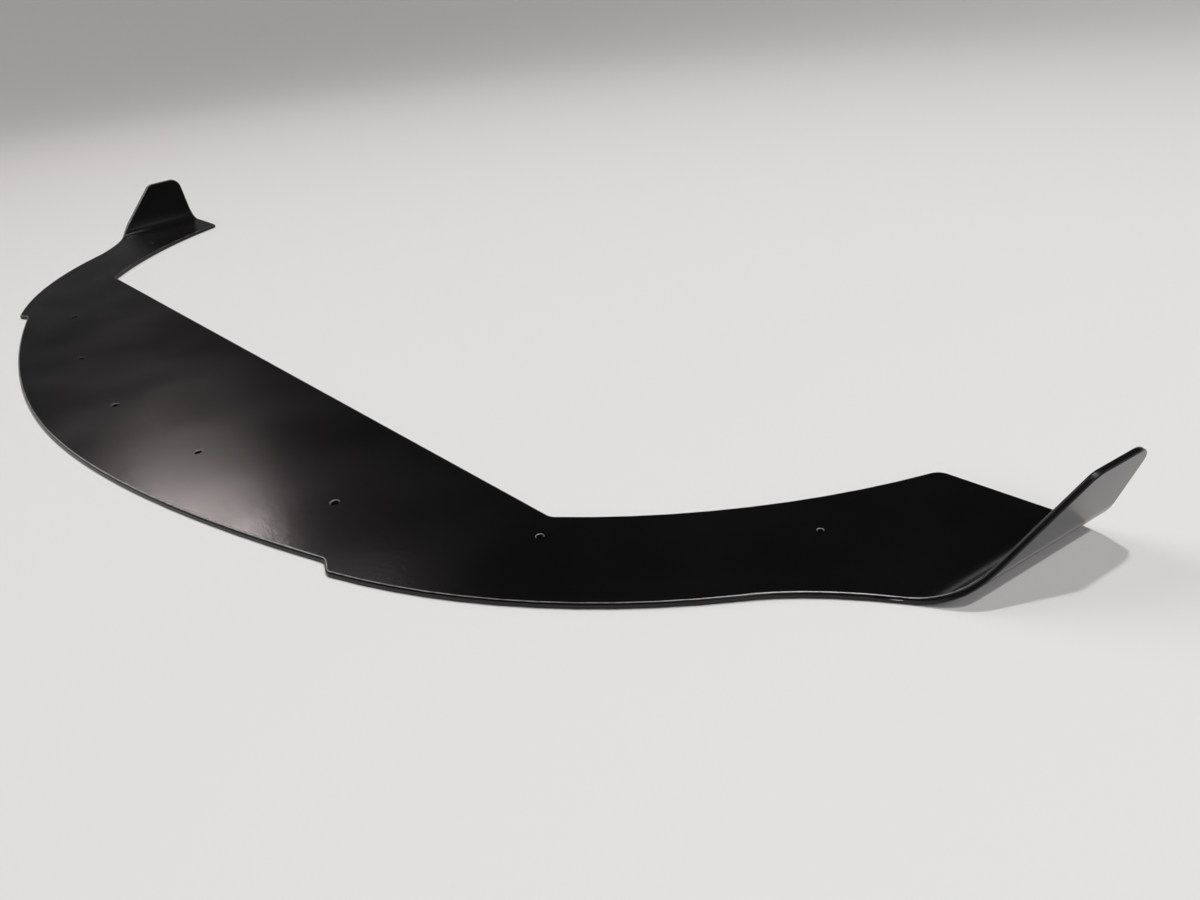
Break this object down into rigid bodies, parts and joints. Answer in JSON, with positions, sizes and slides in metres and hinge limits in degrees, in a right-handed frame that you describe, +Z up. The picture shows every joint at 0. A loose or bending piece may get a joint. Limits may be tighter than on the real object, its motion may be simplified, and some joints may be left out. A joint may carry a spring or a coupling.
{
  "type": "front splitter lip",
  "caption": "Flat black sheet splitter for the underside of a car's front bumper, with a bowed leading edge, notched wings, arms swept back round an open bay and upturned end fins.",
  "frame": {"origin": "on the underside, at the middle of the part's width and depth", "axes": "+X along the width, +Y back towards the bumper, +Z up, with the fins standing up along +Z"},
  "size_m": [1.7272, 0.469, 0.0774],
  "materials": {
    "abs_sheet": "black extruded sheet, semi-gloss with a fine haircell grain"
  },
  "bodies": {
    "root": {"splitter_lip": "abs_sheet"}
  },
  "joints": []
}
